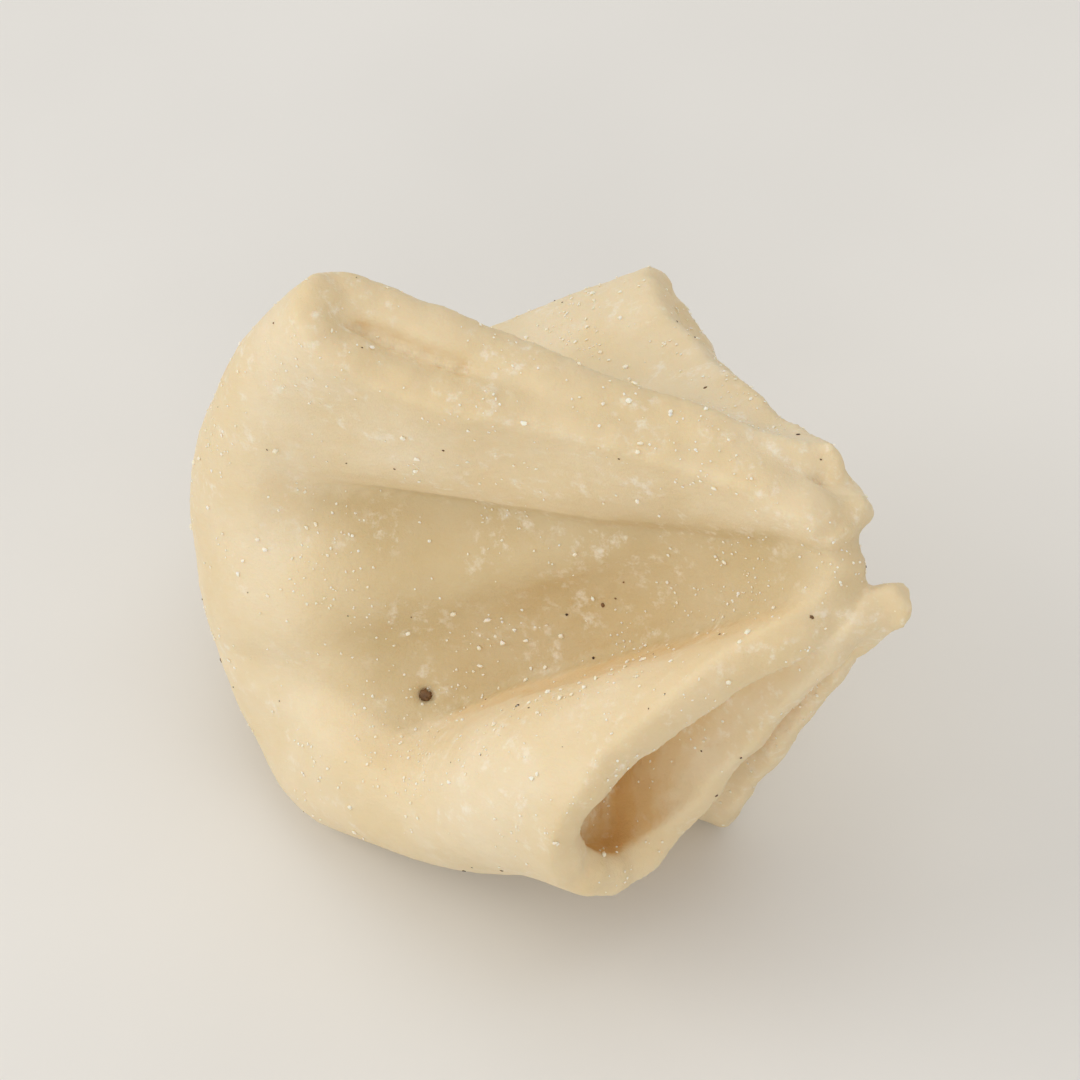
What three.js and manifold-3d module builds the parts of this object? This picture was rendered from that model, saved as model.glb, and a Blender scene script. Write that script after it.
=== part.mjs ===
// A small folded dumpling: one square of thin dough round a spoon-tip of filling.
//
// The square's four corners are gathered over the filling and pinched together. Each side of the square
// then folds at its middle and stands out as an "ear": two walls of dough that leave the pinch side by side
// and turn round into each other at the ear's tip, with a slit between them along the cut edge. Between two
// ears a valley runs from the belly up to the pinched corner. The piece lies on its belly and on one ear.
//
// The sheet's middle surface is worked out in the dumpling's own frame: the middle of the square is at
// the origin, and the pinch is above it on +Z. A "level" runs from 0 at the square's middle to 1 at its cut
// edge, and a "share" runs across one wall from the ear's keel, 0, to the valley, 1.

import * as THREE from "three";
import { mergeVertices } from "three/addons/utils/BufferGeometryUtils.js";
import Module from "manifold-3d";

// Driving dimensions: millimetres and degrees.
const DOUGH = 1.45; // thickness of the rolled dough
const FILLED = 0.6; // the level up to which the sheet is packed with filling
const LOOSE = [0.3, 0.95]; // between these levels the round belly turns into flat ears
const EDGE_BULGE = 0.3; // how far the cut edge is rounded out
const STAND_OFF_AT = [0.3, 0.66]; // the shares of an ear's reach where its walls' stand-offs are stated

// The four ears, in order round the pinch. "tip" is where the keel meets the cut edge, out from the pinch's
// axis and up from the belly. "lean" is the keel's slope there, "belly" and "sweep" are how long it keeps its
// direction at either end. The two walls, one towards the valley before the ear and one towards the
// valley after it, state how far they stand off the ear's plane: at the bend, halfway, and near the pinch.
// "shorter" is how much of its length each wall lacks halfway along its cut edge.
const EARS = [
  {
    heading: 94,
    tip: [10.75, 11.3],
    lean: 62,
    belly: 7.4,
    sweep: 5.5,
    walls: [[1.25, 0.88, 0.62], [1.2, 0.82, 0.6]],
    shorter: [0.02, 0.045],
  },
  {
    heading: 188,
    tip: [11.3, 11.2],
    lean: 72,
    belly: 3.2,
    sweep: 6.6,
    walls: [[1.75, 0.85, 0.66], [1.75, 0.85, 0.68]],
    shorter: [0, 0.03],
  },
  {
    heading: 317,
    tip: [10.3, 13.3],
    lean: 77,
    belly: 9.3,
    sweep: 8.8,
    walls: [[3.8, 5, 3.2], [2.8, 2.3, 1]],
    shorter: [0.012, 0.02],
  },
  {
    heading: 1,
    tip: [11.8, 11.9],
    lean: 64,
    belly: 7.4,
    sweep: 6,
    walls: [[1.3, 0.9, 0.62], [1.35, 0.95, 0.62]],
    shorter: [0.01, 0],
  },
];

// The four valleys, each after the ear of the same place in the list: its widest point, its waist under the
// pinch and the square's corner, each out from the axis and up, and how wide the dough turns in its floor,
// at the belly and at the corner.
const VALLEYS = [
  { heading: 141, belly: 7.4, flank: [8.3, 7], waist: [3.2, 15.5], corner: [1.4, 22.9], turn: [1, 1] },
  { heading: 262, belly: 6.8, flank: [5.6, 7], waist: [2.6, 14.5], corner: [1.5, 23.7], turn: [5, 2] },
  { heading: 339, belly: 7.4, flank: [8, 7], waist: [4.4, 15], corner: [3.1, 24.1], turn: [0.9, 1.2] },
  { heading: 48, belly: 7.4, flank: [8.3, 7], waist: [3.2, 15.5], corner: [1.3, 21.8], turn: [1, 1] },
];

// Creases pressed in by the fingers: each runs over one wall through [level, share] points. Its sides rise
// over "keelSide" towards the ear's keel and over "valleySide" towards the valley. "left" is the share of its
// depth that is left at its end.
const BEFORE = 0; // the wall towards the valley before the ear
const AFTER = 1; // the wall towards the valley after it
const CREASES = [
  {
    ear: 1,
    wall: AFTER,
    depth: 2.3,
    left: 0.5,
    keelSide: 1.2,
    valleySide: 3.2,
    path: [
      [0.6, 0.3],
      [0.61, 0.44],
      [0.675, 0.6],
      [0.725, 0.71],
      [0.78, 0.81],
      [0.83, 0.9],
      [0.88, 0.97],
      [0.95, 1],
    ],
  },
  {
    ear: 2,
    wall: BEFORE,
    depth: 2.9,
    left: 0.3,
    keelSide: 1.4,
    valleySide: 4,
    path: [
      [0.6, 0.38],
      [0.585, 0.5],
      [0.6, 0.63],
      [0.653, 0.72],
      [0.722, 0.785],
      [0.796, 0.83],
      [0.87, 0.853],
      [0.93, 0.857],
      [1, 0.855],
    ],
  },
  {
    ear: 3,
    wall: AFTER,
    depth: 0.6,
    left: 0.3,
    keelSide: 1.5,
    valleySide: 1.5,
    path: [
      [0.55, 0.55],
      [0.7, 0.72],
      [0.85, 0.86],
      [0.97, 0.97],
    ],
  },
  {
    ear: 0,
    wall: BEFORE,
    depth: 0.35,
    left: 0.3,
    keelSide: 0.9,
    valleySide: 0.9,
    path: [
      [0.62, 0.4],
      [0.75, 0.6],
      [0.98, 0.93],
    ],
  },
  {
    ear: 0,
    wall: AFTER,
    depth: 0.5,
    left: 0.3,
    keelSide: 1.2,
    valleySide: 1.2,
    path: [
      [0.58, 0.5],
      [0.72, 0.68],
      [0.98, 0.96],
    ],
  },
];
const CREASE_STEPS = 120;
const CREASE_FLOOR = 0.8; // how broadly a crease is rounded along its deepest line
const CREASE_STARTS = 0.32; // the share of its run over which a crease sets in
const CREASE_ENDS = 0.3; // and over which it fades
const CREASES_BLEND = 3; // the higher, the less two creases deepen each other
const CREASE_REACH = 9; // how far from its deepest line a crease ends
const SIDES_CHANGE = [-0.02, 0.08]; // the shares past its deepest line over which one side turns into the other

// Low lumps all over the hand-rolled sheet, as waves through space.
const LUMPS = [
  { wave: [0.62, 0.35, -0.28], phase: 0.4, height: 0.13 },
  { wave: [-0.3, 0.8, 0.45], phase: 2.1, height: 0.11 },
  { wave: [1.05, -0.55, 0.75], phase: 4, height: 0.07 },
  { wave: [0.5, 1.3, -0.9], phase: 1.2, height: 0.05 },
];

// The cut edge wanders off a straight line: waves round the square, as shares of the sheet.
const FRAY = [
  { waves: 5, phase: 0.7, share: 0.004 },
  { waves: 13, phase: 2, share: 0.003 },
];
const FRAY_KEEPS_TO = 8; // the higher, the closer to the edge the waves stay

// The lump of dough squeezed between the four corners.
const PINCH = { centre: [0, 0.3, 22], radii: [1, 1, 2] };

// How the piece lies: the pinch leans over from upright, then the whole is turned on the table.
const LEAN_OVER = 58;
const TURN = -25;
const SEAT = [-8.91, 3.915, 4.4]; // the middle of the square, from the point under the piece's middle
const TABLE = { width: 80, depth: 20 }; // larger than the piece, to cut its underside flat

// Fineness of the mesh.
const RINGS = 26; // levels from the middle to the cut edge
const STEPS = 11; // steps across each wall
const RIM_STEPS = 3;
const LID_STEPS = 4;
const PINCH_ROUND = 16;
const PINCH_UP = 12;

const DOUGH_COLOUR = 0xe8d6b2;

const UP = new THREE.Vector3(0, 0, 1);
const radians = THREE.MathUtils.degToRad;
const outward = (heading) => new THREE.Vector3(Math.cos(radians(heading)), Math.sin(radians(heading)), 0);

// A Bezier curve through its first and last control points.
function bezier(controls, t) {
  let points = controls;
  while (points.length > 1) {
    points = points.slice(1).map((point, i) => points[i].clone().lerp(point, t));
  }
  return points[0];
}

// The same curve stated with one control point more.
function raised(controls) {
  const degree = controls.length;
  const inner = controls.slice(1).map((point, i) => controls[i].clone().lerp(point, 1 - (i + 1) / degree));
  return [controls[0], ...inner, controls.at(-1)];
}

const flat = ([out, up]) => new THREE.Vector2(out, up);

// The fold line under an ear, from the belly's middle to the ear's tip, as (out, up).
function keel(ear, level) {
  const tip = flat(ear.tip);
  const back = new THREE.Vector2(Math.cos(radians(ear.lean)), Math.sin(radians(ear.lean)));
  const before = tip.clone().addScaledVector(back, -ear.sweep);
  return bezier([flat([0, 0]), flat([ear.belly, 0]), before, tip], level);
}

// The floor of a valley, from the belly's middle to the pinched corner, as (out, up).
function valleyFloor(valley, level) {
  return bezier([[0, 0], [valley.belly, 0], valley.flank, valley.waist, valley.corner].map(flat), level);
}

// A point of the sheet's middle surface.
function wallPoint(index, wall, level, share) {
  const ear = EARS[index];
  const valley = VALLEYS[wall === AFTER ? index : (index + VALLEYS.length - 1) % VALLEYS.length];
  const way = wall === AFTER ? 1 : -1;
  const apart = radians(THREE.MathUtils.euclideanModulo(way * (valley.heading - ear.heading), 360));
  const aside = outward(ear.heading + 90 * way); // square to the ear's plane
  const along = outward(valley.heading + 90 * way); // level along the valley's floor
  const ridge = keel(ear, level);
  const floor = valleyFloor(valley, level);
  const start = outward(ear.heading).multiplyScalar(ridge.x).addScaledVector(UP, ridge.y);
  const end = outward(valley.heading).multiplyScalar(floor.x).addScaledVector(UP, floor.y);

  // Round the belly, the dough runs from keel to valley in an arc.
  const handle = (4 / 3) * Math.tan(apart / 4);
  const arc = raised(
    raised([
      start,
      start.clone().addScaledVector(aside, handle * ridge.x),
      end.clone().addScaledVector(along, -handle * floor.x),
      end,
    ]),
  );

  // Out in the ear, it bends sharply at the keel and runs back to the pinch beside the ear's plane.
  const [bend, middle, press] = ear.walls[wall];
  const [halfway, nearPinch] = STAND_OFF_AT;
  const turn = THREE.MathUtils.lerp(...valley.turn, level);
  const inward = end.clone().sub(start);
  inward.addScaledVector(aside, -inward.dot(aside));
  const loop = [
    start,
    start.clone().addScaledVector(aside, bend),
    start.clone().addScaledVector(inward, halfway).addScaledVector(aside, middle),
    start.clone().addScaledVector(inward, nearPinch).addScaledVector(aside, press),
    end.clone().addScaledVector(along, -turn),
    end,
  ];
  const looseness = THREE.MathUtils.smoothstep(level, ...LOOSE);
  return bezier(arc.map((point, i) => point.clone().lerp(loop[i], looseness)), share);
}

// Steps across a wall, finer at the keel and in the valley.
const eased = (share) => (1 - Math.cos(Math.PI * share)) / 2;

// A level, moved a little where the cut edge wanders.
function frayed(level, angle, shorter) {
  const wander = FRAY.reduce(
    (sum, { waves, phase, share }) => sum + share * Math.sin(waves * angle + phase),
    0,
  );
  return level * (1 + (wander - shorter) * level ** FRAY_KEEPS_TO);
}

// The columns of points that climb from the middle to the cut edge, once round, wall after wall.
const COLUMNS = EARS.flatMap((_, ear) =>
  [BEFORE, AFTER].flatMap((wall) =>
    Array.from({ length: STEPS }, (_, step) => {
      const share = eased(wall === AFTER ? step / STEPS : 1 - step / STEPS);
      return { ear, wall, share };
    }),
  ),
);

// The whole middle surface, ring by ring.
function sheet() {
  return Array.from({ length: RINGS + 1 }, (_, ring) =>
    COLUMNS.map(({ ear, wall, share }, column) => {
      const shorter = EARS[ear].shorter[wall] * Math.sin(Math.PI * share);
      const level = frayed(ring / RINGS, (2 * Math.PI * column) / COLUMNS.length, shorter);
      return wallPoint(ear, wall, level, share);
    }),
  );
}

// The outward direction at each point of the sheet.
function outwardNormals(rings) {
  const count = rings[0].length;
  return rings.map((ring, level) =>
    ring.map((_, i) => {
      if (level === 0) return UP.clone().negate();
      const round = ring[(i + 1) % count].clone().sub(ring[(i + count - 1) % count]);
      const up = rings[Math.min(level + 1, RINGS)][i].clone().sub(rings[level - 1][i]);
      return round.cross(up).normalize();
    }),
  );
}

// The points along a crease, each with its share and how deep it is pressed there.
function creaseLine({ ear, wall, path, depth, left }) {
  return Array.from({ length: CREASE_STEPS + 1 }, (_, i) => {
    const along = i / CREASE_STEPS;
    const at = along * (path.length - 1);
    const leg = Math.min(Math.floor(at), path.length - 2);
    const [level, share] = path[leg].map((value, k) => {
      return THREE.MathUtils.lerp(value, path[leg + 1][k], at - leg);
    });
    const setIn = Math.sin((Math.min(along / CREASE_STARTS, 1) * Math.PI) / 2);
    const fade = THREE.MathUtils.lerp(left, 1, Math.min((1 - along) / CREASE_ENDS, 1));
    return { point: wallPoint(ear, wall, level, share), share, depth: depth * setIn * fade };
  });
}

const lumps = (point) =>
  LUMPS.reduce((sum, { wave, phase, height }) => {
    return sum + height * Math.sin(point.dot(new THREE.Vector3(...wave)) + phase);
  }, 0);

// How far a column of the sheet lies on the valley's side of a crease, from 0 to 1, at the crease's point
// nearest to it: beyond it on the same wall, or on the wall across the valley.
function onValleySide(column, { ear, wall }, near) {
  if (column.wall === wall) {
    return column.ear === ear ? THREE.MathUtils.smoothstep(column.share - near.share, ...SIDES_CHANGE) : 0;
  }
  const across = ear + (wall === AFTER ? 1 : -1);
  return column.ear === THREE.MathUtils.euclideanModulo(across, EARS.length) ? 1 : 0;
}

// Gives the sheet its lumps and presses the creases into it.
function press(rings) {
  const normals = outwardNormals(rings);
  const creases = CREASES.map((crease) => ({ ...crease, line: creaseLine(crease) }));
  const pressedIn = (point, column) => {
    const powers = creases.reduce((sum, crease) => {
      const near = crease.line.reduce((a, b) =>
        a.point.distanceToSquared(point) < b.point.distanceToSquared(point) ? a : b,
      );
      const side = onValleySide(column, crease, near);
      const width = THREE.MathUtils.lerp(crease.keelSide, crease.valleySide, side);
      const distance = near.point.distanceTo(point);
      const rises = Math.exp((CREASE_FLOOR - Math.hypot(distance, CREASE_FLOOR)) / width);
      const ends = Math.max(1 - (distance / CREASE_REACH) ** 2, 0);
      return sum + (near.depth * rises * ends) ** CREASES_BLEND;
    }, 0);
    return powers ** (1 / CREASES_BLEND);
  };
  return rings.map((ring, r) =>
    ring.map((point, i) => {
      const shift = lumps(point) - pressedIn(point, COLUMNS[i]);
      return point.clone().addScaledVector(normals[r][i], shift);
    }),
  );
}

// One closed mesh: the outside, the cut edge, the inside down to the filling, and the filling's top.
function foldedDough() {
  const rings = press(sheet());
  const normals = outwardNormals(rings);
  const offset = (level, distance) =>
    rings[level].map((point, i) => point.clone().addScaledVector(normals[level][i], distance));
  const outer = (level) => offset(level, DOUGH / 2);
  const inner = (level) => offset(level, -DOUGH / 2);

  const bands = [];
  for (let level = 1; level <= RINGS; level += 1) bands.push(outer(level));

  const edgeOut = outer(RINGS);
  const edgeIn = inner(RINGS);
  for (let step = 1; step < RIM_STEPS; step += 1) {
    const across = step / RIM_STEPS;
    bands.push(
      edgeOut.map((point, i) => {
        const beyond = rings[RINGS][i].clone().sub(rings[RINGS - 1][i]).normalize();
        const bulge = EDGE_BULGE * Math.sin(Math.PI * across);
        return point.clone().lerp(edgeIn[i], across).addScaledVector(beyond, bulge);
      }),
    );
  }

  const lowest = Math.round(FILLED * RINGS) + 1;
  for (let level = RINGS; level >= lowest; level -= 1) bands.push(inner(level));

  const lid = bands.at(-1);
  const top = new THREE.Vector3(0, 0, lid.reduce((sum, point) => sum + point.z, 0) / lid.length);
  for (let step = 1; step < LID_STEPS; step += 1) {
    bands.push(lid.map((point) => point.clone().lerp(top, step / LID_STEPS)));
  }
  return closedMesh(outer(0)[0], bands, top);
}

// Triangles over rings of points, closed by a fan round the first point and round the last. Each patch between
// two rings is split along its shorter diagonal, which keeps sharp folds clean.
function closedMesh(first, bands, last) {
  const count = bands[0].length;
  const points = [first, ...bands.flat(), last];
  const at = (band, i) => 1 + band * count + (i % count);
  const triangles = [];
  for (let i = 0; i < count; i += 1) {
    triangles.push(0, at(0, i + 1), at(0, i));
    for (let band = 0; band + 1 < bands.length; band += 1) {
      const quad = [at(band, i), at(band, i + 1), at(band + 1, i + 1), at(band + 1, i)];
      const [a, b, c, d] = quad;
      const [near, right, far, left] = quad.map((corner) => points[corner]);
      if (near.distanceTo(far) < right.distanceTo(left)) triangles.push(a, c, d, a, b, c);
      else triangles.push(a, b, d, b, c, d);
    }
    triangles.push(points.length - 1, at(bands.length - 1, i), at(bands.length - 1, i + 1));
  }
  return new THREE.BufferGeometry().setFromPoints(points).setIndex(triangles);
}

function pinchLump() {
  return new THREE.SphereGeometry(1, PINCH_ROUND, PINCH_UP)
    .rotateX(Math.PI / 2)
    .scale(...PINCH.radii)
    .translate(...PINCH.centre);
}

const wasm = await Module();
wasm.setup();

function toSolid(geometry) {
  const bare = geometry.clone();
  bare.deleteAttribute("normal");
  bare.deleteAttribute("uv");
  const merged = mergeVertices(bare, 1e-4);
  return new wasm.Manifold(
    new wasm.Mesh({
      numProp: 3,
      vertProperties: merged.attributes.position.array,
      triVerts: new Uint32Array(merged.index.array),
    }),
  );
}

function toGeometry(solid) {
  const { vertProperties, triVerts } = solid.getMesh();
  const geometry = new THREE.BufferGeometry();
  geometry.setAttribute("position", new THREE.BufferAttribute(vertProperties, 3));
  geometry.setIndex(new THREE.BufferAttribute(triVerts, 1));
  geometry.computeVertexNormals();
  return geometry;
}

// Tips a shape over from the dumpling's own frame to the way it lies on the table.
function lay(geometry) {
  return geometry
    .rotateY(radians(LEAN_OVER))
    .rotateZ(radians(TURN))
    .translate(...SEAT);
}

function manti() {
  const dough = toSolid(lay(foldedDough())).add(toSolid(lay(pinchLump())));
  const { width, depth } = TABLE;
  const table = new THREE.BoxGeometry(width, width, depth).translate(0, 0, -depth / 2);
  const mesh = new THREE.Mesh(
    toGeometry(dough.subtract(toSolid(table))),
    new THREE.MeshStandardMaterial({ color: DOUGH_COLOUR, roughness: 0.8, metalness: 0 }),
  );
  mesh.name = "manti";
  return mesh;
}

const part = new THREE.Group();
part.add(manti());

export default part;
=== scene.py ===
# %% [markdown]
# # One small bundle dumpling
#
# The real thing is a square of rolled wheat dough, a little over three centimetres wide. A spoon tip of
# filling goes on its middle, the four corners are gathered over it and pinched together, and each side of
# the square is left standing out as a folded ear. It then lies on its side, on its full belly and an ear.
#
# The lesson starts from the solid model of the dumpling, which gives the size and the place of everything.
# Blender then makes what the solid leaves out: soft folds, the torn pinch, the grain of the dough, flour.

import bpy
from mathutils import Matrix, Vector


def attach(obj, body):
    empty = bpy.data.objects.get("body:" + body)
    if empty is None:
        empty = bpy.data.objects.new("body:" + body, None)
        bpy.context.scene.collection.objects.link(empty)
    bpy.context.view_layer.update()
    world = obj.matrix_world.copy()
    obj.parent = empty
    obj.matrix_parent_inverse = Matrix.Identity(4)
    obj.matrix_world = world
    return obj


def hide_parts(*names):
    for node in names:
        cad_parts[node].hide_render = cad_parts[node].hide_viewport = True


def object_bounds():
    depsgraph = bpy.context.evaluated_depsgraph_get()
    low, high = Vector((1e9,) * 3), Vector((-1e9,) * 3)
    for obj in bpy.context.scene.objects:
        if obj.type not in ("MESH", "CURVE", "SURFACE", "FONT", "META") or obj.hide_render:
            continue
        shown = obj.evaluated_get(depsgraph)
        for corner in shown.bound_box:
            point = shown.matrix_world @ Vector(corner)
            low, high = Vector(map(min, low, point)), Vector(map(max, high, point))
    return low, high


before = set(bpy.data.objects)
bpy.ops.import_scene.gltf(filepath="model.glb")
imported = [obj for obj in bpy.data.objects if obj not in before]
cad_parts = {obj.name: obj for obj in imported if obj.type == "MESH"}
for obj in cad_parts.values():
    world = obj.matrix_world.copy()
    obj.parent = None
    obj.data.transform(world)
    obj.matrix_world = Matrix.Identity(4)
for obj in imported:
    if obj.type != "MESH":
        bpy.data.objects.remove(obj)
solid_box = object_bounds()
print("solid model, in metres:", [tuple(round(value, 5) for value in corner) for corner in solid_box])

# %% [markdown]
# ## Tools and units
#
# A dumpling is easier to think about in millimetres, and Blender's voxels and noises also behave better on
# numbers near one than near a thousandth. So the dough is shaped in millimetres, and each finished mesh is
# scaled to metres once. Everything random comes from one seeded generator: the scene is the same every run.

# %% Imports and units
import math

import bmesh
import bpy
import numpy as np
from mathutils import Vector, noise
from mathutils.bvhtree import BVHTree
from mathutils.kdtree import KDTree

MM = 0.001
chance = np.random.default_rng(36)
print("one millimetre is", MM, "of a metre")

# %% [markdown]
# ## How the square is folded
#
# The fold could be simulated as cloth, but a simulated fold never lands twice where a given dumpling has
# it. Here the folded square is written down instead, the way a pastry cook would describe it. Four ears
# stand round the pinch, each with a keel: the line from the middle of the square to the middle of one side.
# Between two ears a valley climbs from the belly to a corner of the square. A point of the dough is then
# named by its "level", 0 at the middle of the square and 1 at the cut edge, and its "share" of the way from
# keel to valley.

# %% The ears and the valleys
DOUGH = 1.45  # thickness
FILLED = 0.6  # the level up to which the filling reaches
LOOSE = (0.3, 0.95)  # between these levels the round belly turns into flat ears
STAND_OFF_AT = (0.3, 0.66)  # the shares of an ear's reach where its walls' stand-offs are stated
BEFORE, AFTER = 0, 1  # an ear's walls, towards the valley before it and after it

# Headings and leans are in degrees, all else in millimetres, and a place is stated as (outwards, upwards).
# "belly" and "sweep" are how long a keel keeps its direction at either end. "walls" gives how far each wall
# stands off at the keel, halfway and near the pinch, and "shorter" is the share of its reach that a wall's
# cut edge lacks. "turn" is how wide the dough turns in a valley, low down and at the corner.
EARS = [
    dict(heading=94, tip=(10.75, 11.3), lean=62, belly=7.4, sweep=5.5,
         walls=((1.25, 0.88, 0.62), (1.2, 0.82, 0.60)), shorter=(0.02, 0.045)),
    dict(heading=188, tip=(11.3, 11.2), lean=72, belly=3.2, sweep=6.6,
         walls=((1.75, 0.85, 0.66), (1.75, 0.85, 0.68)), shorter=(0, 0.03)),
    dict(heading=317, tip=(10.3, 13.3), lean=77, belly=9.3, sweep=8.8,
         walls=((3.8, 5.0, 3.2), (2.8, 2.3, 1.0)), shorter=(0.012, 0.02)),
    dict(heading=1, tip=(11.8, 11.9), lean=64, belly=7.4, sweep=6.0,
         walls=((1.3, 0.90, 0.62), (1.35, 0.95, 0.62)), shorter=(0.01, 0)),
]
VALLEYS = [
    dict(heading=141, belly=7.4, flank=(8.3, 7), waist=(3.2, 15.5), corner=(1.4, 22.9), turn=(1.0, 1.0)),
    dict(heading=262, belly=6.8, flank=(5.6, 7), waist=(2.6, 14.5), corner=(1.5, 23.7), turn=(5.0, 2.0)),
    dict(heading=339, belly=7.4, flank=(8.0, 7), waist=(4.4, 15.0), corner=(3.1, 24.1), turn=(0.9, 1.2)),
    dict(heading=48, belly=7.4, flank=(8.3, 7), waist=(3.2, 15.5), corner=(1.3, 21.8), turn=(1.0, 1.0)),
]
UP = np.array((0.0, 0.0, 1.0))


def outward(heading):
    return np.array((math.cos(math.radians(heading)), math.sin(math.radians(heading)), 0.0))


print(len(EARS), "ears and", len(VALLEYS), "valleys round the pinch")

# %% [markdown]
# ## One wall of an ear
#
# Each wall is a family of curves, one for every level, that run from the keel to the valley. Low on the
# belly the curve is a circle's arc, because the filling pushes the dough round. Near the cut edge it is a
# tight hairpin: the dough turns sharply at the keel and runs back to the pinch beside its neighbour. Bezier
# curves suit this, because the two kinds can be blended control point by control point, and neighbouring
# walls meet smoothly.

# %% Curves for the keel, the valley and the wall between them
def bezier(controls, t):
    points = [np.asarray(point, float) for point in controls]
    t = np.asarray(t, float)[..., None]
    while len(points) > 1:
        points = [a + (b - a) * t for a, b in zip(points, points[1:])]
    return points[0]


def with_one_more_control(controls):
    steps = len(controls)
    inner = [a + (b - a) * (1 - (i + 1) / steps) for i, (a, b) in enumerate(zip(controls, controls[1:]))]
    return [controls[0], *inner, controls[-1]]


def smoothstep(value, low, high):
    x = np.clip((value - low) / (high - low), 0, 1)
    return x * x * (3 - 2 * x)


def keel(ear, level):
    tip = np.array(ear["tip"])
    back = outward(ear["lean"])[:2]
    return bezier([(0, 0), (ear["belly"], 0), tip - ear["sweep"] * back, tip], level)


def valley_floor(valley, level):
    controls = [(0, 0), (valley["belly"], 0), valley["flank"], valley["waist"], valley["corner"]]
    return bezier(controls, level)


def wall_point(index, wall, level, share):
    level = np.asarray(level, float)
    ear = EARS[index]
    valley = VALLEYS[index if wall == AFTER else index - 1]
    way = 1 if wall == AFTER else -1
    apart = math.radians((way * (valley["heading"] - ear["heading"])) % 360)
    aside = outward(ear["heading"] + 90 * way)
    along = outward(valley["heading"] + 90 * way)
    ridge = keel(ear, level)
    floor = valley_floor(valley, level)
    start = ridge[..., :1] * outward(ear["heading"]) + ridge[..., 1:] * UP
    end = floor[..., :1] * outward(valley["heading"]) + floor[..., 1:] * UP

    handle = 4 / 3 * math.tan(apart / 4)  # with such handles a cubic curve follows a circle's arc
    arc = [start, start + handle * ridge[..., :1] * aside, end - handle * floor[..., :1] * along, end]
    arc = with_one_more_control(with_one_more_control(arc))

    bend, middle, press = ear["walls"][wall]
    halfway, near_pinch = STAND_OFF_AT
    wide, tight = valley["turn"]
    turn = (wide + (tight - wide) * level)[..., None]
    inward = end - start
    inward = inward - np.sum(inward * aside, -1, keepdims=True) * aside
    hairpin = [
        start,
        start + bend * aside,
        start + halfway * inward + middle * aside,
        start + near_pinch * inward + press * aside,
        end - turn * along,
        end,
    ]
    loose = smoothstep(level, *LOOSE)[..., None]
    return bezier([a + (b - a) * loose for a, b in zip(arc, hairpin)], share)


print("tip of the first ear:", wall_point(0, AFTER, 1.0, 0.0).round(2), "mm")

# %% [markdown]
# ## The whole sheet
#
# Eight walls side by side make the sheet's middle surface: a grid of rings, one for each level, that start
# as a dot under the belly and end at the cut edge. A knife never cuts dough dead straight, so the last
# rings wander a little in and out. The steps across a wall are closer together at the keel and in the
# valley, where it bends.

# %% Build the grid of the sheet
RINGS = 120  # levels from the middle to the cut edge
STEPS = 56  # steps across each wall
# The cut edge's wandering: how many waves go round it, where each starts, and its share of the reach.
FRAY = [(5, 0.7, 0.004), (13, 2.0, 0.003), (29, 4.1, 0.0025), (61, 1.0, 0.003), (97, 3.3, 0.002)]
FRAY_KEEPS_TO = 8  # the higher, the closer to the edge the wandering stays


def frayed(level, angle, shorter):
    wander = sum(share * np.sin(waves * angle + phase) for waves, phase, share in FRAY)
    return level * (1 + (wander - shorter) * level**FRAY_KEEPS_TO)


EASED = (1 - np.cos(np.pi * np.arange(STEPS + 1) / STEPS)) / 2
COLUMNS = [
    (index, wall, share)
    for index in range(len(EARS))
    for wall, shares in ((BEFORE, EASED[:0:-1]), (AFTER, EASED[:-1]))
    for share in shares
]


def sheet():
    levels = np.linspace(0, 1, RINGS + 1)
    columns = []
    for number, (index, wall, share) in enumerate(COLUMNS):
        angle = 2 * math.pi * number / len(COLUMNS)
        shorter = EARS[index]["shorter"][wall] * math.sin(math.pi * share)
        columns.append(wall_point(index, wall, frayed(levels, angle, shorter), np.full(RINGS + 1, share)))
    return np.stack(columns, axis=1)


def outward_normals(grid):
    across = np.roll(grid, -1, 1) - np.roll(grid, 1, 1)
    up = np.empty_like(grid)
    up[1:-1] = grid[2:] - grid[:-2]
    up[0] = grid[1] - grid[0]
    up[-1] = grid[-1] - grid[-2]
    normals = np.cross(across, up)
    normals /= np.maximum(np.linalg.norm(normals, axis=-1, keepdims=True), 1e-12)
    normals[0] = -UP
    return normals


flat_sheet = sheet()
print("sheet of", flat_sheet.shape[0], "rings by", flat_sheet.shape[1], "points")

# %% [markdown]
# ## Lumps and pressed creases
#
# Hand-rolled dough is never even, and fingers leave creases where they close the bundle. A few long waves
# through space give the lumps. A crease follows a path over one wall, is deepest along its middle with a
# rounded floor, and fades at both ends. The two deepest are steep on the side towards the ear and wide on
# the side towards the valley. Both lumps and creases move the sheet along its own normal, so the dough
# keeps its thickness. The side towards the valley is also noted as a hollow, for the finish: painted shade
# darkens it there.

# %% Press the sheet
# Each lump is a wave in space: how fast it turns along each axis, where it starts, and its height.
LUMPS = [
    ((0.62, 0.35, -0.28), 0.4, 0.13),
    ((-0.30, 0.80, 0.45), 2.1, 0.11),
    ((1.05, -0.55, 0.75), 4.0, 0.07),
    ((0.50, 1.30, -0.90), 1.2, 0.05),
]
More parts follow.
